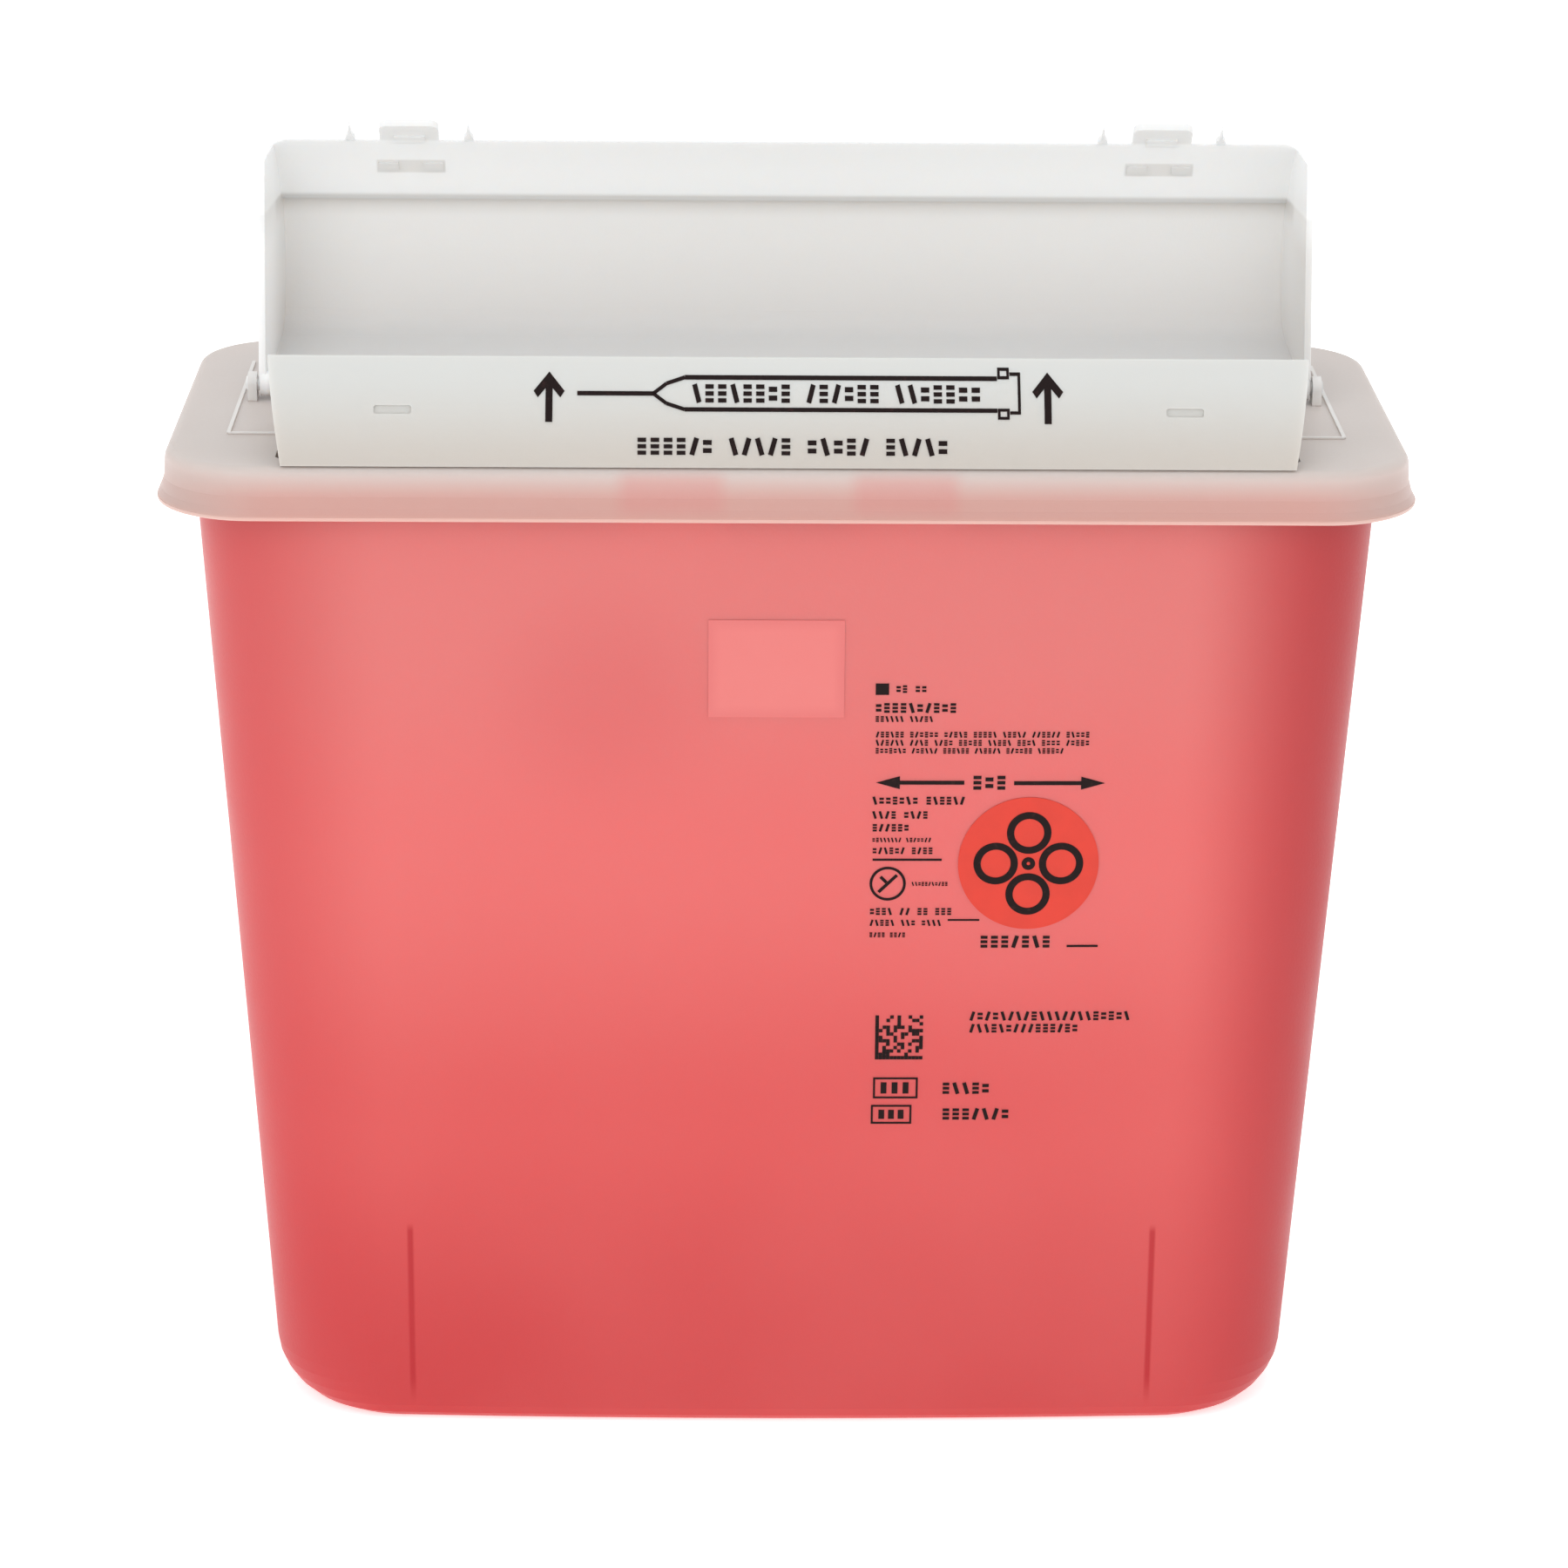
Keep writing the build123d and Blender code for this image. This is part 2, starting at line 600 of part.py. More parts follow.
with BuildPart() as blank_label:
    with BuildSketch(Plane.XZ.offset(30)):
        with Locations((BLANK_X, BLANK_Z)):
            Rectangle(BLANK_WIDTH, BLANK_HEIGHT)
    extrude(amount=40)
    add(front_skin, mode=Mode.INTERSECT)

blank_label.part.label = "blank_label"


# --- Files -------------------------------------------------------------------------------

os.makedirs("parts", exist_ok=True)
export_step(ribbed_tub.part, "parts/tub.step")
export_step(lid_frame.part, "parts/lid_frame.step")
export_step(tray.part, "parts/tray.step")
export_step(closure_cover.part, "parts/closure_cover.step")
export_step(hazard_label.part, "parts/hazard_label.step")
export_step(blank_label.part, "parts/blank_label.step")
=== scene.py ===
import math
import random

import bmesh
import bpy
from mathutils import Matrix, Vector
from mathutils.bvhtree import BVHTree


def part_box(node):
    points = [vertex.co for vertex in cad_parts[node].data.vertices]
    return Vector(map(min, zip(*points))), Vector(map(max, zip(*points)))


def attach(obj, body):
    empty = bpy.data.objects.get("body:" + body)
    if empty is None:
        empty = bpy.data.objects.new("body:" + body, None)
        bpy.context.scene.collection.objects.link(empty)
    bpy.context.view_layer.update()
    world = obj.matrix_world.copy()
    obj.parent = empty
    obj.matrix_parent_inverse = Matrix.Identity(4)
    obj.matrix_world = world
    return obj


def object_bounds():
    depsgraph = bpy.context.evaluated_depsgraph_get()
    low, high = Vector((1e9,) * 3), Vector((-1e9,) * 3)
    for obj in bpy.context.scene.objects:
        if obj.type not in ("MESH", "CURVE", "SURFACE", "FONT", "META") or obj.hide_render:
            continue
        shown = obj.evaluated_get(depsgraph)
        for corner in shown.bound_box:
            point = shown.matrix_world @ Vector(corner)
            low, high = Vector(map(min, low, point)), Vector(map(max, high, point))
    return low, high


# Looks of the sharps container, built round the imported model. Blender works in metres;
# the print layouts below are written in millimetres, as (x, z) on the front of the object.

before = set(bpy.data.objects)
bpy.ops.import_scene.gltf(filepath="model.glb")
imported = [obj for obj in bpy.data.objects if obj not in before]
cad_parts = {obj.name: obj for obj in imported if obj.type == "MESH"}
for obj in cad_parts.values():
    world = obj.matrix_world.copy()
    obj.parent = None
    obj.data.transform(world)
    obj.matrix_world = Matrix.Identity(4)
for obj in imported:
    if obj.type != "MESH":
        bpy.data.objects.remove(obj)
cad_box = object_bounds()
MM = 0.001

TUB_HIGH = Vector(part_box("tub")[1])
DISC_LOW, DISC_HIGH = (Vector(corner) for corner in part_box("hazard_label"))
BLANK_LOW, BLANK_HIGH = (Vector(corner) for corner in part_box("blank_label"))

# Places on the object that the tones are drawn between
DECK_TOP = 0.2285
SKIRT_LOW = 0.2172
LUG_X = 0.0250
RIB_X = 0.0840
COVER_CREASE = 0.2690
TAB_X = 0.0845
HOOK_HEIGHT = 0.2760
TIPS_LOW = 0.2824
PLATE_X = 0.1140

# Camera: place, angles in degrees, and a lens in millimetres on a sensor of this width
CAMERA_PLACE = (-0.0174, -1.0794, 0.5044)
CAMERA_PITCH = 18.74
CAMERA_YAW = 0.947
CAMERA_ROLL = 0.50
CAMERA_LENS = 113.9
SENSOR_WIDTH = 36.0

# Studio: each softbox has a name, a place, a side and a power
SOFTBOXES = (
    ("key", (-0.9, -1.5, 1.25), 1.1, 4.6),
    ("fill", (1.3, -1.2, 0.7), 1.2, 0.5),
    ("top", (0.0, 0.1, 1.7), 1.2, 2.5),
)
SOFTBOX_TARGET = Vector((0.0, 0.0, 0.15))
SURROUND_STRENGTH = 0.93
FLOOR_HALF = 6.0
FLOOR_GLOW = 0.55

# Plastics
PLASTIC_IOR = 1.49
FINE_GRAIN = 1500.0
BROAD_GRAIN = 28.0
BUMP_DEPTH = 0.0003

# Ink, in millimetres: thickness, and the longest pieces that still follow a curved wall
INK_THICK = 0.07
BAR_LENGTH = 2.5
BAR_HEIGHT = 0.8
STROKE_LENGTH = 0.9
RING_PIECES = 40
ARROW_PIECES = 4
WELD_DISTANCE = 0.5e-6


# --- Camera, floor and lights ------------------------------------------------------------

def add_camera():
    """Camera in front of the container, looking slightly down and turned a little to the right."""
    pitch = math.radians(CAMERA_PITCH)
    yaw = math.radians(CAMERA_YAW)
    roll = math.radians(CAMERA_ROLL)
    forward = Vector((math.sin(yaw) * math.cos(pitch), math.cos(yaw) * math.cos(pitch), -math.sin(pitch)))
    level = Vector((math.cos(yaw), -math.sin(yaw), 0.0))
    upright = level.cross(forward)
    right = level * math.cos(roll) + upright * math.sin(roll)
    up = upright * math.cos(roll) - level * math.sin(roll)
    data = bpy.data.cameras.new("camera")
    data.lens = CAMERA_LENS
    data.sensor_width = SENSOR_WIDTH
    camera = bpy.data.objects.new("camera", data)
    turn = Matrix((right, up, -forward)).transposed().to_4x4()
    camera.matrix_world = Matrix.Translation(CAMERA_PLACE) @ turn
    bpy.context.scene.collection.objects.link(camera)
    bpy.context.scene.camera = camera


def add_softbox(name, place, side, power):
    """Square white lamp that faces the middle of the container."""
    data = bpy.data.lights.new(name, "AREA")
    data.shape = "SQUARE"
    data.size = side
    data.energy = power
    lamp = bpy.data.objects.new(name, data)
    lamp.location = place
    lamp.rotation_euler = (SOFTBOX_TARGET - Vector(place)).to_track_quat("-Z", "Y").to_euler()
    bpy.context.scene.collection.objects.link(lamp)


def add_floor():
    """Plain pale floor, faintly luminous so that it stays even close to the red tub."""
    mesh = bpy.data.meshes.new("floor")
    half = FLOOR_HALF
    corners = [(-half, -half, 0.0), (half, -half, 0.0), (half, half, 0.0), (-half, half, 0.0)]
    mesh.from_pydata(corners, [], [(0, 1, 2, 3)])
    floor = bpy.data.objects.new("floor", mesh)
    bpy.context.scene.collection.objects.link(floor)
    material = bpy.data.materials.new("floor_paint")
    material.use_nodes = True
    shader = material.node_tree.nodes["Principled BSDF"]
    shader.inputs["Base Color"].default_value = (0.94, 0.94, 0.94, 1.0)
    shader.inputs["Roughness"].default_value = 0.9
    shader.inputs["Specular IOR Level"].default_value = 0.1
    shader.inputs["Emission Color"].default_value = (1.0, 1.0, 1.0, 1.0)
    shader.inputs["Emission Strength"].default_value = FLOOR_GLOW
    mesh.materials.append(material)


def set_studio():
    """Even pale surroundings and large softboxes."""
    scene = bpy.context.scene
    scene.view_settings.view_transform = "Standard"
    world = bpy.data.worlds.new("studio")
    world.use_nodes = True
    background = world.node_tree.nodes["Background"]
    background.inputs["Color"].default_value = (1.0, 1.0, 1.0, 1.0)
    background.inputs["Strength"].default_value = SURROUND_STRENGTH
    scene.world = world
    for softbox in SOFTBOXES:
        add_softbox(*softbox)


# --- Material helpers --------------------------------------------------------------------

class Nodes:
    """Short names for building one material's node tree."""

    def __init__(self, name, roughness, subsurface=0.0, radius=(1.0, 0.4, 0.3), scale=0.004, specular=0.5):
        self.material = bpy.data.materials.new(name)
        self.material.use_nodes = True
        self.tree = self.material.node_tree
        self.shader = self.tree.nodes["Principled BSDF"]
        self.shader.inputs["Roughness"].default_value = roughness
        self.shader.inputs["IOR"].default_value = PLASTIC_IOR
        self.shader.inputs["Specular IOR Level"].default_value = specular
        self.shader.inputs["Subsurface Weight"].default_value = subsurface
        self.shader.inputs["Subsurface Radius"].default_value = radius
        self.shader.inputs["Subsurface Scale"].default_value = scale
        self.where = self.tree.nodes.new("ShaderNodeTexCoord").outputs["Object"]
        split = self.tree.nodes.new("ShaderNodeSeparateXYZ")
        self.tree.links.new(self.where, split.inputs[0])
        self.x, self.y, self.z = split.outputs

    def feed(self, socket, value):
        """Sets a socket to a number, or links another socket to it."""
        if isinstance(value, bpy.types.NodeSocket):
            self.tree.links.new(value, socket)
        else:
            socket.default_value = value

    def maths(self, operation, a, b=0.0):
        """One maths node."""
        node = self.tree.nodes.new("ShaderNodeMath")
        node.operation = operation
        self.feed(node.inputs[0], a)
        self.feed(node.inputs[1], b)
        return node.outputs[0]

    def size(self, value):
        """The value without its sign."""
        return self.maths("ABSOLUTE", value)

    def product(self, *shares):
        """Product of several shares."""
        total = shares[0]
        for share in shares[1:]:
            total = self.maths("MULTIPLY", total, share)
        return total

    def smooth(self, value, start, end):
        """0 before start and 1 after end, with a smooth step between; start may be the larger."""
        node = self.tree.nodes.new("ShaderNodeMapRange")
        node.interpolation_type = "SMOOTHSTEP"
        self.feed(node.inputs["Value"], value)
        node.inputs["From Min"].default_value = min(start, end)
        node.inputs["From Max"].default_value = max(start, end)
        node.inputs["To Min"].default_value = 0.0 if start < end else 1.0
        node.inputs["To Max"].default_value = 1.0 if start < end else 0.0
        return node.outputs[0]

    def near(self, value, centre, half, soft):
        """1 within half of centre, fading to 0 over soft."""
        away = self.size(self.maths("SUBTRACT", value, centre))
        return self.smooth(away, half + soft, half)

    def noise(self, scale, detail):
        """Noise that stays with the object."""
        node = self.tree.nodes.new("ShaderNodeTexNoise")
        node.inputs["Scale"].default_value = scale
        node.inputs["Detail"].default_value = detail
        self.tree.links.new(self.where, node.inputs["Vector"])
        return node.outputs["Fac"]

    def mix(self, share, a, b, blend="MIX"):
        """Colour a where the share is 0, and colour b blended over it where the share is 1."""
        node = self.tree.nodes.new("ShaderNodeMix")
        node.data_type = "RGBA"
        node.blend_type = blend
        self.feed(node.inputs[0], share)
        self.feed(node.inputs[6], a if isinstance(a, bpy.types.NodeSocket) else (*a, 1.0))
        self.feed(node.inputs[7], b if isinstance(b, bpy.types.NodeSocket) else (*b, 1.0))
        return node.outputs[2]

    def tint(self, tone, share, weight, colour, blend="MIX"):
        """Lays a colour over the tone, at this weight, where the share is 1."""
        return self.mix(self.product(share, weight), tone, colour, blend)

    def ramp(self, value, stops):
        """Eased colour ramp."""
        node = self.tree.nodes.new("ShaderNodeValToRGB")
        ramp = node.color_ramp
        ramp.interpolation = "EASE"
        while len(ramp.elements) < len(stops):
            ramp.elements.new(0.5)
        for element, (place, colour) in zip(ramp.elements, stops):
            element.position = place
            element.color = (*colour, 1.0)
        self.feed(node.inputs[0], value)
        return node.outputs[0]

    def finish(self, tone, grain, roughness):
        """Colours the surface, gives it uneven gloss and a shallow grain, and returns the material."""
        self.feed(self.shader.inputs["Base Color"], tone)
        fine = self.noise(FINE_GRAIN, 4.0)
        broad = self.noise(BROAD_GRAIN, 3.0)
        gloss = self.maths("ADD", self.product(fine, 0.35), self.product(broad, 0.65))
        spread = self.tree.nodes.new("ShaderNodeMapRange")
        self.feed(spread.inputs["Value"], gloss)
        spread.inputs["From Min"].default_value = 0.3
        spread.inputs["From Max"].default_value = 0.7
        spread.inputs["To Min"].default_value = roughness[0]
        spread.inputs["To Max"].default_value = roughness[1]
        self.feed(self.shader.inputs["Roughness"], spread.outputs[0])
        bump = self.tree.nodes.new("ShaderNodeBump")
        bump.inputs["Strength"].default_value = grain
        bump.inputs["Distance"].default_value = BUMP_DEPTH
        self.feed(bump.inputs["Height"], self.maths("ADD", fine, self.product(broad, 1.5)))
        self.feed(self.shader.inputs["Normal"], bump.outputs[0])
        return self.material


# --- Materials ---------------------------------------------------------------------------

def tub_material():
    """Translucent red polypropylene: darker towards the bottom and where the walls carry a rib, with
    painted shade down both sides, deepest on the right.
    """
    n = Nodes("tub_plastic", 0.4, subsurface=0.35, radius=(1.0, 0.25, 0.2), scale=0.006, specular=0.32)
    tone = n.ramp(n.smooth(n.z, -0.010, TUB_HIGH.z), [
        (0.00, (0.520, 0.043, 0.046)),
        (0.30, (0.620, 0.080, 0.079)),
        (0.70, (0.690, 0.130, 0.125)),
        (1.00, (0.640, 0.160, 0.151)),
    ])
    cloud = n.smooth(n.noise(9.0, 2.0), 0.30, 0.75)
    tone = n.tint(tone, cloud, 0.22, (0.71, 0.170, 0.164))
    across = n.size(n.x)
    # Painted shade down both sides of the tub, and deeper painted shade down its right side
    tone = n.tint(tone, n.smooth(across, 0.085, 0.124), 0.70, (0.49, 0.032, 0.038))
    tone = n.tint(tone, n.smooth(n.x, 0.085, 0.126), 0.80, (0.36, 0.014, 0.018))
    # Shade of the wall's double thickness at the ribs, low on the front and the back
    rib = n.product(
        n.near(across, RIB_X, 0.0003, 0.0007),
        n.smooth(n.z, 0.0500, 0.0475),
        n.smooth(n.z, 0.003, 0.012),
        n.smooth(n.size(n.y), 0.030, 0.036),
    )
    tone = n.tint(tone, rib, 0.85, (0.42, 0.012, 0.018))
    # Painted shade: a soft darker round patch high on the left
    dx = n.maths("SUBTRACT", n.x, -0.040)
    dz = n.maths("SUBTRACT", n.z, 0.176)
    away = n.maths("SQRT", n.maths("ADD", n.product(dx, dx), n.product(dz, dz)))
    tone = n.tint(tone, n.smooth(away, 0.034, 0.004), 0.28, (0.56, 0.080, 0.083))
    return n.finish(tone, 0.10, (0.36, 0.50))


def pale_plastic(name, low, high, below, above, subsurface=0.35):
    """Nodes and tone of milky polypropylene whose tone runs from one height to another."""
    n = Nodes(name, 0.4, subsurface=subsurface, radius=(1.0, 0.85, 0.75), scale=0.004)
    tone = n.mix(n.smooth(n.z, low, high), below, above)
    cloud = n.smooth(n.noise(14.0, 3.0), 0.35, 0.70)
    return n, n.tint(tone, cloud, 0.10, (0.93, 0.93, 0.93), "MULTIPLY")


def finish_pale(n, tone):
    """Grain and gloss that the three milky mouldings share."""
    return n.finish(tone, 0.08, (0.34, 0.48))


def lid_material():
    """Milky lid whose skirt is tinted by the red tub behind it, most of all over the snap lugs."""
    foot, deck = (0.560, 0.315, 0.276), (0.585, 0.540, 0.512)
    n, tone = pale_plastic("lid_plastic", SKIRT_LOW + 0.004, DECK_TOP + 0.0012, foot, deck)
    across = n.size(n.x)
    # Painted shade on the skirt's ends, where it turns round the corners
    shaded_ends = n.product(n.smooth(across, 0.108, 0.134), n.smooth(n.z, DECK_TOP, DECK_TOP - 0.004))
    tone = n.tint(tone, shaded_ends, 0.60, (0.46, 0.39, 0.36))
    # Painted highlight along the bottom edge of the skirt
    lip_highlight = n.smooth(n.z, SKIRT_LOW + 0.0014, SKIRT_LOW + 0.0006)
    tone = n.tint(tone, lip_highlight, 0.35, (0.72, 0.49, 0.43))
    # Painted light on the ridges, bosses and hinge ears that stand above the deck
    proud_light = n.smooth(n.z, DECK_TOP + 0.0001, DECK_TOP + 0.0003)
    tone = n.tint(tone, proud_light, 0.85, (0.76, 0.74, 0.72))
    lug = n.product(
        n.near(across, LUG_X, 0.0085, 0.005),
        n.smooth(n.z, DECK_TOP + 0.0010, DECK_TOP - 0.0030),
        n.smooth(n.z, SKIRT_LOW, SKIRT_LOW + 0.004),
        n.smooth(n.size(n.y), 0.052, 0.056),
    )
    return finish_pale(n, n.tint(tone, lug, 0.40, (0.60, 0.22, 0.20)))


def tray_material():
    """Milky tray, with painted shade that makes its panel darker and warmer towards the foot."""
    # Painted light at the head of the panel and painted shade at its foot
    foot, head = (0.530, 0.490, 0.446), (0.645, 0.652, 0.634)
    n, tone = pale_plastic("tray_plastic", DECK_TOP - 0.001, DECK_TOP + 0.020, foot, head)
    return finish_pale(n, tone)


def cover_material():
    """Milky cover: painted shade low down and just under its crease, painted light along the strip above
    it.
    """
    # Painted shade: darker towards the foot of the dome
    foot, dome = (0.652, 0.648, 0.642), (0.785, 0.790, 0.785)
    n, tone = pale_plastic("cover_plastic", 0.232, 0.264, foot, dome, subsurface=0.6)
    # Painted shade just under the crease
    crease = n.product(
        n.smooth(n.z, COVER_CREASE - 0.006, COVER_CREASE - 0.001),
        n.smooth(n.y, 0.020, 0.024),
    )
    tone = n.tint(tone, crease, 0.60, (0.56, 0.56, 0.55))
    # Painted light along the strip above the crease
    strip = n.smooth(n.z, COVER_CREASE - 0.0006, COVER_CREASE + 0.0006)
    tone = n.tint(tone, strip, 0.90, (0.90, 0.915, 0.915))
    hooks = n.product(
        n.near(n.size(n.x), TAB_X, 0.0074, 0.0006),
        n.near(n.z, HOOK_HEIGHT, 0.0013, 0.0006),
    )
    tone = n.tint(tone, hooks, 0.60, (0.62, 0.62, 0.61))
    tips = n.smooth(n.z, TIPS_LOW, TIPS_LOW + 0.001)
    tone = n.tint(tone, tips, 0.90, (0.76, 0.77, 0.77))
    # Painted light on the left end plate and painted shade on the right one
    below = n.smooth(n.z, COVER_CREASE, COVER_CREASE - 0.010)
    left = n.product(n.smooth(n.x, -PLATE_X, -PLATE_X - 0.002), below)
    tone = n.tint(tone, left, 0.90, (0.96, 0.96, 0.96))
    right = n.product(n.smooth(n.x, PLATE_X, PLATE_X + 0.002), below)
    return finish_pale(n, n.tint(tone, right, 0.80, (0.66, 0.66, 0.65)))


def disc_material():
    """Orange printed film with a slightly uneven lay-down."""
    n = Nodes("hazard_orange", 0.35, subsurface=0.1, scale=0.003)
    colour = (0.68, 0.024, 0.005)
    darker = tuple(0.86 * channel for channel in colour)
    patchy = n.smooth(n.noise(160.0, 4.0), 0.3, 0.7)
    return n.finish(n.tint(colour, patchy, 0.5, darker), 0.05, (0.28, 0.40))


def blank_material():
    """Write-on film, palest in the middle and close to the tub's own tone at its edges."""
    n = Nodes("blank_film", 0.35, subsurface=0.2, scale=0.003)
    middle = (BLANK_LOW + BLANK_HIGH) / 2
    half = (BLANK_HIGH - BLANK_LOW) / 2
    edge = 0.003
    inside = n.product(
        n.near(n.x, middle.x, half.x - edge, edge),
        n.near(n.z, middle.z, half.z - edge, edge),
    )
    tone = n.mix(inside, (0.74, 0.150, 0.142), (0.79, 0.172, 0.160))
    patchy = n.smooth(n.noise(120.0, 4.0), 0.3, 0.7)
    return n.finish(n.tint(tone, patchy, 0.10, (0.75, 0.140, 0.130)), 0.05, (0.30, 0.42))


def ink_material():
    """Dry screen-printed ink, a little broken and warm where it thins over the plastic."""
    n = Nodes("print_ink", 0.6, specular=0.12)
    thin = n.smooth(n.noise(900.0, 5.0), 0.55, 0.75)
    tone = n.tint((0.012, 0.006, 0.006), thin, 0.5, (0.045, 0.018, 0.017))
    return n.finish(tone, 0.05, (0.5, 0.7))


def give(node, material):
    """Puts a material on a carried-over CAD node."""
    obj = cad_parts[node]
    if not obj.data.materials:
        obj.data.materials.append(material)
    for place in obj.material_slots:
        place.material = material


# --- Printing ------------------------------------------------------------------------------

class Print:
    """Flat ink shapes, laid out in millimetres as (x, z), then pressed onto a node's front."""

    def __init__(self, name, node):
        self.name = name
        self.node = node
        self.mesh = bmesh.new()

    def polygon(self, points):
        """One flat face."""
        self.mesh.faces.new([self.mesh.verts.new((x * MM, 0.0, z * MM)) for x, z in points])

    def bar(self, x0, x1, z0, z1):
        """Rectangle cut into short lengths, so that it can follow a curved wall."""
        columns = max(1, math.ceil((x1 - x0) / BAR_LENGTH))
        rows = max(1, math.ceil((z1 - z0) / BAR_HEIGHT))
        for i in range(columns):
            left = x0 + (x1 - x0) * i / columns
            right = x0 + (x1 - x0) * (i + 1) / columns
            for j in range(rows):
                low = z0 + (z1 - z0) * j / rows
                high = z0 + (z1 - z0) * (j + 1) / rows
                self.polygon([(left, low), (right, low), (right, high), (left, high)])

    def stroke(self, x0, z0, x1, z1, width):
        """Straight stroke between two points."""
        along = Vector((x1 - x0, z1 - z0))
        across = Vector((-along.y, along.x)).normalized() * width / 2
        count = max(1, math.ceil(along.length / STROKE_LENGTH))
        for i in range(count):
            a = Vector((x0, z0)) + along * i / count
            b = Vector((x0, z0)) + along * (i + 1) / count
            self.polygon([tuple(a - across), tuple(b - across), tuple(b + across), tuple(a + across)])

    def outline(self, x0, x1, z0, z1, width):
        """Outlined box."""
        self.bar(x0, x1, z0, z0 + width)
        self.bar(x0, x1, z1 - width, z1)
        self.bar(x0, x0 + width, z0 + width, z1 - width)
        self.bar(x1 - width, x1, z0 + width, z1 - width)

    def ring(self, x, z, outer, inner):
        """Whole ring round a point."""
        for i in range(RING_PIECES):
            a = math.tau * i / RING_PIECES
            b = math.tau * (i + 1) / RING_PIECES
            self.polygon([
                (x + inner * math.cos(a), z + inner * math.sin(a)),
                (x + outer * math.cos(a), z + outer * math.sin(a)),
                (x + outer * math.cos(b), z + outer * math.sin(b)),
                (x + inner * math.cos(b), z + inner * math.sin(b)),
            ])

    def hatch_row(self, x0, x1, z0, z1, seed, groups):
        """Row of slanted and level strokes that stands where the real object carries words."""
        rng = random.Random(seed)
        high = z1 - z0
        pitch = high * 0.82
        count = int((x1 - x0) / pitch)
        gaps = {round(count * (i + 1) / groups) for i in range(groups - 1)}
        line = high * 0.24
        wide = pitch * 0.66
        slant = line * 1.3
        for i in range(count):
            if i in gaps:
                continue
            left = x0 + i * pitch
            kind = rng.choice(("rise", "fall", "levels", "halves", "levels"))
            if kind == "rise":
                self.stroke(left + line / 2, z0, left + wide - line / 2, z1, slant)
            elif kind == "fall":
                self.stroke(left + line / 2, z1, left + wide - line / 2, z0, slant)
            elif kind == "levels":
                for share in (0.0, 0.38, 0.76):
                    self.bar(left, left + wide, z0 + high * share, z0 + high * share + line)
            else:
                for start, end in ((0.12, 0.40), (0.60, 0.88)):
                    self.bar(left, left + wide, z0 + high * start, z0 + high * end)

    def press(self, body, material, lift=0.03):
        """Projects the shapes onto the node, gives them thickness and returns the piece."""
        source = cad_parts[self.node].data
        tree = BVHTree.FromPolygons(
            [v.co.copy() for v in source.vertices],
            [tuple(p.vertices) for p in source.polygons],
        )
        bmesh.ops.remove_doubles(self.mesh, verts=self.mesh.verts, dist=WELD_DISTANCE)
        for vertex in self.mesh.verts:
            origin = Vector((vertex.co.x, cad_box[0][1] - 0.1, vertex.co.z))
            hit = tree.ray_cast(origin, Vector((0.0, 1.0, 0.0)))[0]
            if hit is None:
                raise ValueError(f"{self.name}: nothing behind {vertex.co.x:.4f}, {vertex.co.z:.4f}")
            vertex.co.y = hit.y - lift * MM
        grown = bmesh.ops.extrude_face_region(self.mesh, geom=self.mesh.faces[:], use_keep_orig=True)
        for item in grown["geom"]:
            if isinstance(item, bmesh.types.BMVert):
                item.co.y -= INK_THICK * MM
        bmesh.ops.recalc_face_normals(self.mesh, faces=self.mesh.faces)
        data = bpy.data.meshes.new(self.name)
        self.mesh.to_mesh(data)
        self.mesh.free()
        piece = bpy.data.objects.new(self.name, data)
        bpy.context.scene.collection.objects.link(piece)
        data.materials.append(material)
        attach(piece, body)
        return piece


def up_arrow(sheet, x, z0, z1):
    """Upright arrow with a broad barbed head, cut into short pieces for the curved panel."""
    half = 0.75
    neck = z1 - 2.1
    shoulder = neck - 0.8
    outer_reach, outer_drop = 3.3, 3.4
    inner_reach, inner_drop = 2.4, 2.5
    sheet.bar(x - half, x + half, z0, shoulder)
    sheet.polygon([(x - half, shoulder), (x + half, shoulder), (x, neck)])
    for way in (-1, 1):
        for i in range(ARROW_PIECES):
            near = i / ARROW_PIECES
            far = (i + 1) / ARROW_PIECES
            sheet.polygon([
                (x + way * outer_reach * near, z1 - outer_drop * near),
                (x + way * outer_reach * far, z1 - outer_drop * far),
                (x + way * inner_reach * far, neck - inner_drop * far),
                (x + way * inner_reach * near, neck - inner_drop * near),
            ])


def side_arrow(sheet, tip, tail, z):
    """Level arrow with a solid head at its tip."""
    head, head_half, shaft_half = 5.2, 1.5, 0.45
    way = 1 if tail > tip else -1
    neck = tip + way * head
    sheet.bar(min(neck, tail), max(neck, tail), z - shaft_half, z + shaft_half)
    for i in range(ARROW_PIECES):
        near = i / ARROW_PIECES
        far = (i + 1) / ARROW_PIECES
        x_near = tip + way * head * near
        x_far = tip + way * head * far
        low = head_half * near
        high = head_half * far
        if i == 0:
            sheet.polygon([(tip, z), (x_far, z - high), (x_far, z + high)])
        else:
            sheet.polygon([(x_near, z - low), (x_far, z - high), (x_far, z + high), (x_near, z + low)])


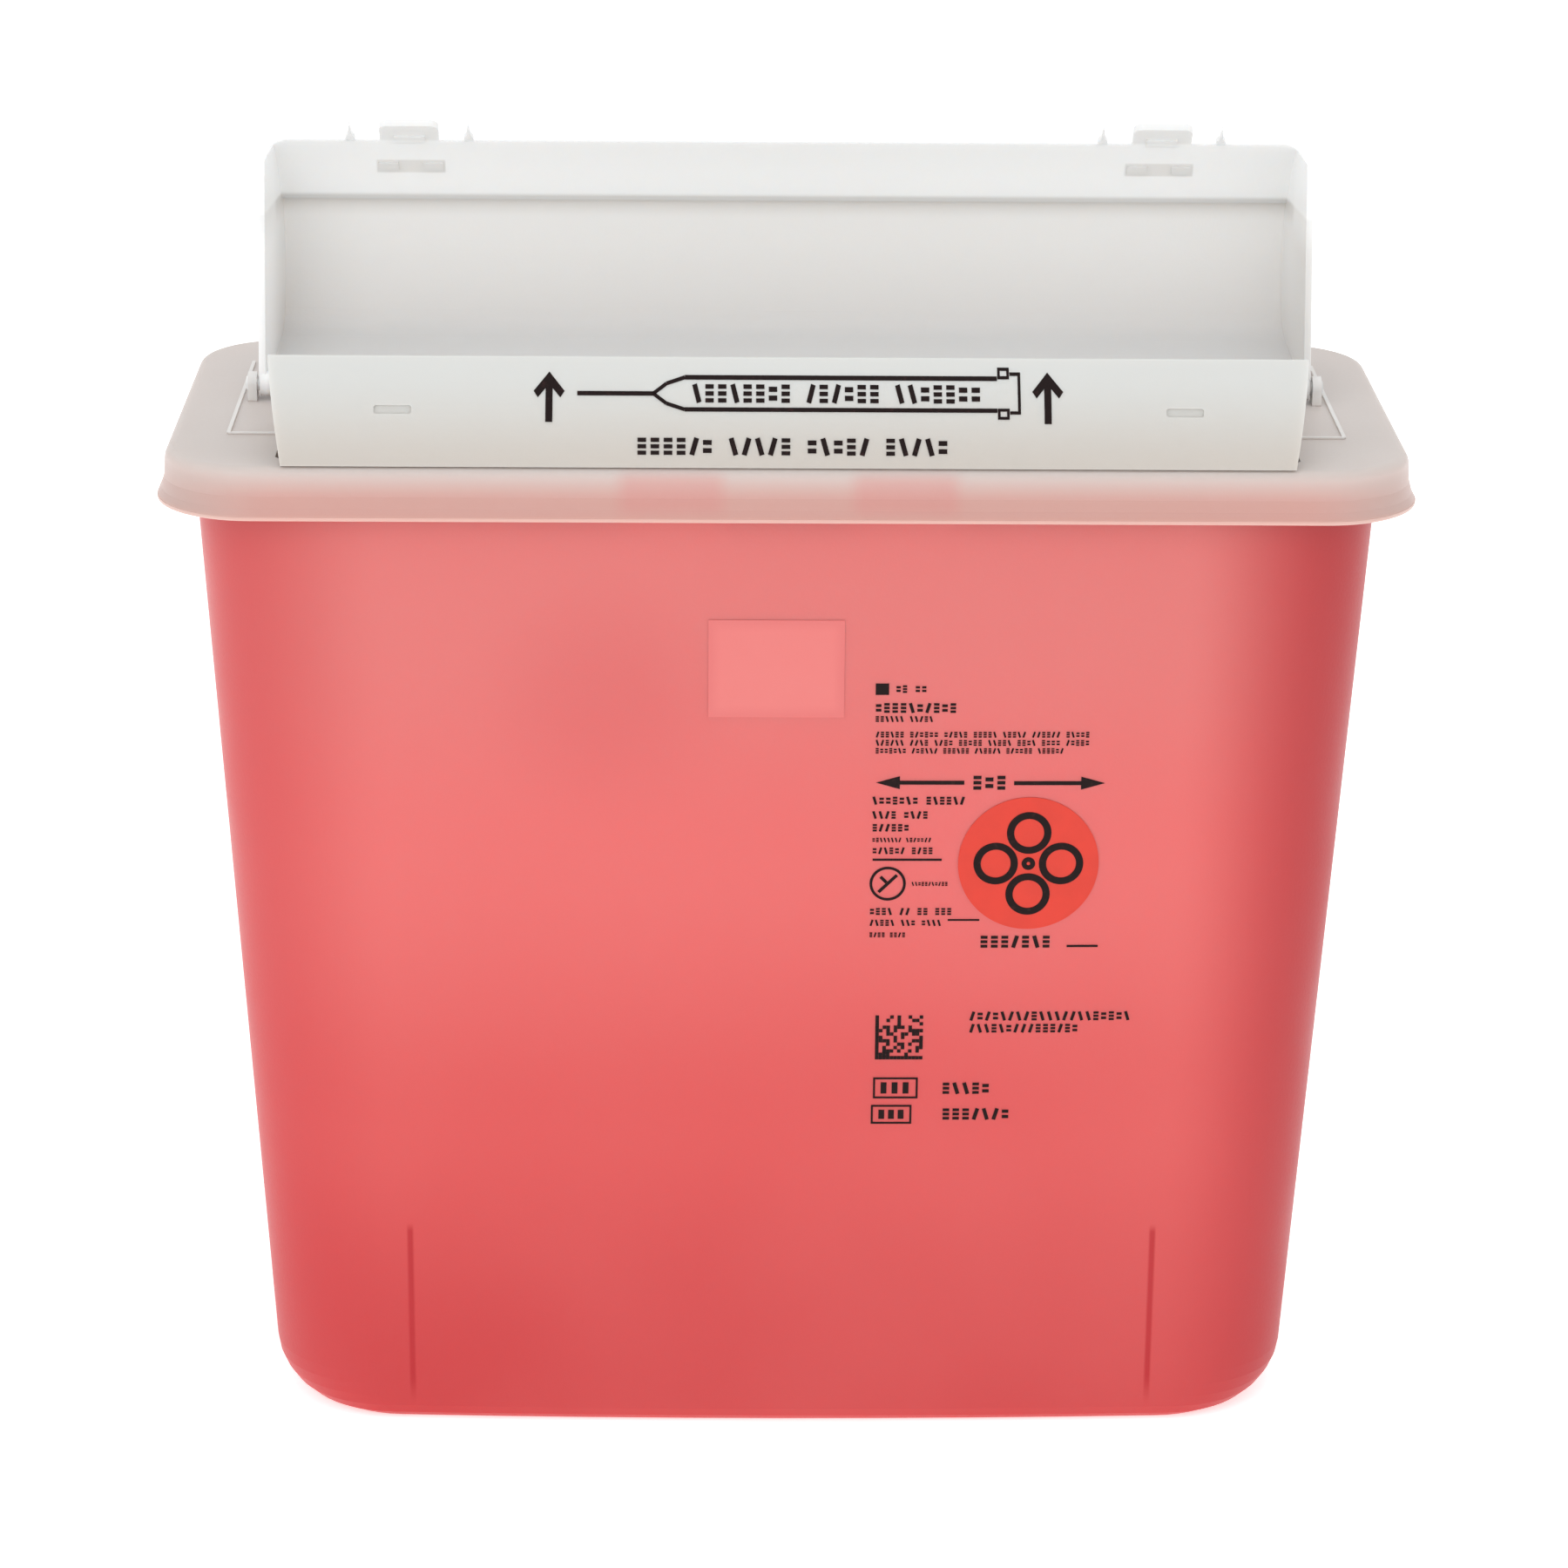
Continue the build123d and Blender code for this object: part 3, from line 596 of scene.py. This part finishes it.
def print_tray(ink):
    """Lift arrows, a plain syringe outline and two rows of blind marks on the tray's panel."""
    sheet = Print("tray_print", "tray")
    up_arrow(sheet, -51.2, 237.8, 247.0)
    up_arrow(sheet, 55.2, 237.8, 247.2)
    # Needle and nose
    middle = 243.2
    line = 0.7
    sheet.bar(-45.2, -29.0, 242.8, 243.6)
    for way in (1, -1):
        sheet.stroke(-29.0, middle, -26.2, middle + way * 1.8, line)
        sheet.stroke(-26.2, middle + way * 1.8, -22.3, middle + way * 2.9, line)
    # Barrel, finger flange and plunger
    sheet.bar(-22.3, 44.4, 245.7, 246.5)
    sheet.bar(-22.3, 44.4, 239.9, 240.7)
    sheet.outline(44.5, 47.0, 246.0, 248.0, 0.55)
    sheet.outline(44.5, 47.0, 238.6, 240.7, 0.55)
    sheet.bar(47.1, 49.4, 246.6, 247.2)
    sheet.bar(47.1, 49.4, 239.6, 240.2)
    sheet.bar(48.8, 49.4, 240.2, 246.6)
    sheet.hatch_row(-20.6, 44.0, 241.6, 244.9, 3, 3)
    sheet.hatch_row(-32.3, 35.3, 231.4, 234.8, 5, 4)
    return sheet.press("tray", ink)


# Blind rows on the tub: left, right, low, high, seed and number of groups
TUB_ROWS = (
    (23.8, 31.3, 177.3, 179.0, 11, 2),
    (19.4, 37.6, 172.7, 174.9, 12, 1),
    (19.4, 32.9, 170.6, 171.9, 13, 2),
    (19.5, 66.6, 167.0, 168.3, 14, 7),
    (19.5, 66.6, 165.1, 166.4, 15, 8),
    (19.5, 61.0, 163.3, 164.5, 16, 6),
    (41.0, 49.4, 154.9, 158.1, 17, 1),
    (19.0, 40.3, 151.4, 153.2, 21, 2),
    (19.0, 32.8, 148.1, 149.8, 22, 2),
    (19.1, 28.0, 145.1, 146.8, 23, 1),
    (19.1, 32.6, 142.6, 143.6, 24, 2),
    (19.2, 33.6, 139.8, 141.3, 25, 2),
    (27.9, 36.4, 132.3, 133.2, 26, 1),
    (18.8, 38.0, 125.4, 127.0, 27, 4),
    (18.8, 35.0, 122.8, 124.2, 28, 3),
    (18.8, 27.0, 120.1, 121.2, 29, 2),
    (43.4, 61.0, 117.6, 120.4, 30, 1),
    (41.4, 79.2, 100.1, 102.2, 31, 1),
    (41.4, 66.4, 97.2, 99.2, 32, 1),
    (35.7, 48.1, 82.3, 85.0, 33, 1),
    (35.8, 52.2, 76.0, 78.7, 34, 1),
)


def chequer(sheet, left, low, cells, cell, seed):
    """Square block of seeded cells, solid along its left and its foot."""
    rng = random.Random(seed)
    inked = cell * 0.96
    for row in range(cells):
        for column in range(cells):
            solid_edge = row == 0 or column == 0
            if solid_edge or rng.random() < 0.48:
                x = left + column * cell
                z = low + row * cell
                sheet.bar(x, x + inked, z, z + inked)


def marked_box(sheet, x0, x1, z0, z1):
    """Outlined box with three upright marks in it."""
    sheet.outline(x0, x1, z0, z1, 0.45)
    for i in range(3):
        left = x0 + 1.7 + i * (x1 - x0 - 2.6) / 3
        sheet.bar(left, left + 1.3, z0 + 1.2, z1 - 1.2)


def print_tub(ink):
    """Blind rows, fill arrows, a small icon and a chequered block on the front of the tub."""
    sheet = Print("tub_print", "tub")
    for row in TUB_ROWS:
        sheet.hatch_row(*row)
    side_arrow(sheet, 19.7, 39.0, 156.5)
    side_arrow(sheet, 69.8, 49.9, 156.4)
    # Solid square, then three rules
    sheet.bar(19.3, 22.2, 176.8, 179.4)
    sheet.bar(19.2, 34.4, 138.2, 138.7)
    sheet.bar(36.0, 43.0, 124.0, 124.4)
    sheet.bar(62.5, 69.4, 117.7, 118.2)
    # Round icon with two strokes in it
    sheet.ring(22.6, 132.8, 4.0, 3.4)
    sheet.stroke(20.6, 130.8, 24.6, 134.8, 0.7)
    sheet.stroke(21.0, 134.4, 22.3, 133.1, 0.7)
    chequer(sheet, 20.4, 90.7, 13, 0.82, 41)
    marked_box(sheet, 20.1, 30.1, 81.2, 86.3)
    marked_box(sheet, 19.7, 28.8, 75.0, 79.6)
    return sheet.press("container", ink)


def print_rosette(ink):
    """Plain four-loop rosette on the orange disc."""
    sheet = Print("rosette_print", "hazard_label")
    x = (DISC_LOW.x + DISC_HIGH.x) / 2 / MM
    z = (DISC_LOW.z + DISC_HIGH.z) / 2 / MM
    spread = 7.2
    for direction in (0.0, 90.0, 180.0, 270.0):
        a = math.radians(direction)
        sheet.ring(x + spread * math.cos(a), z + spread * math.sin(a), 4.9, 3.3)
    sheet.ring(x, z, 1.5, 0.4)
    return sheet.press("container", ink, lift=0.02)


# --- Build -----------------------------------------------------------------------------------

add_camera()
add_floor()
set_studio()

give("tub", tub_material())
give("lid_frame", lid_material())
give("tray", tray_material())
give("closure_cover", cover_material())
give("hazard_label", disc_material())
give("blank_label", blank_material())

black = ink_material()
print_tray(black)
print_tub(black)
print_rosette(black)
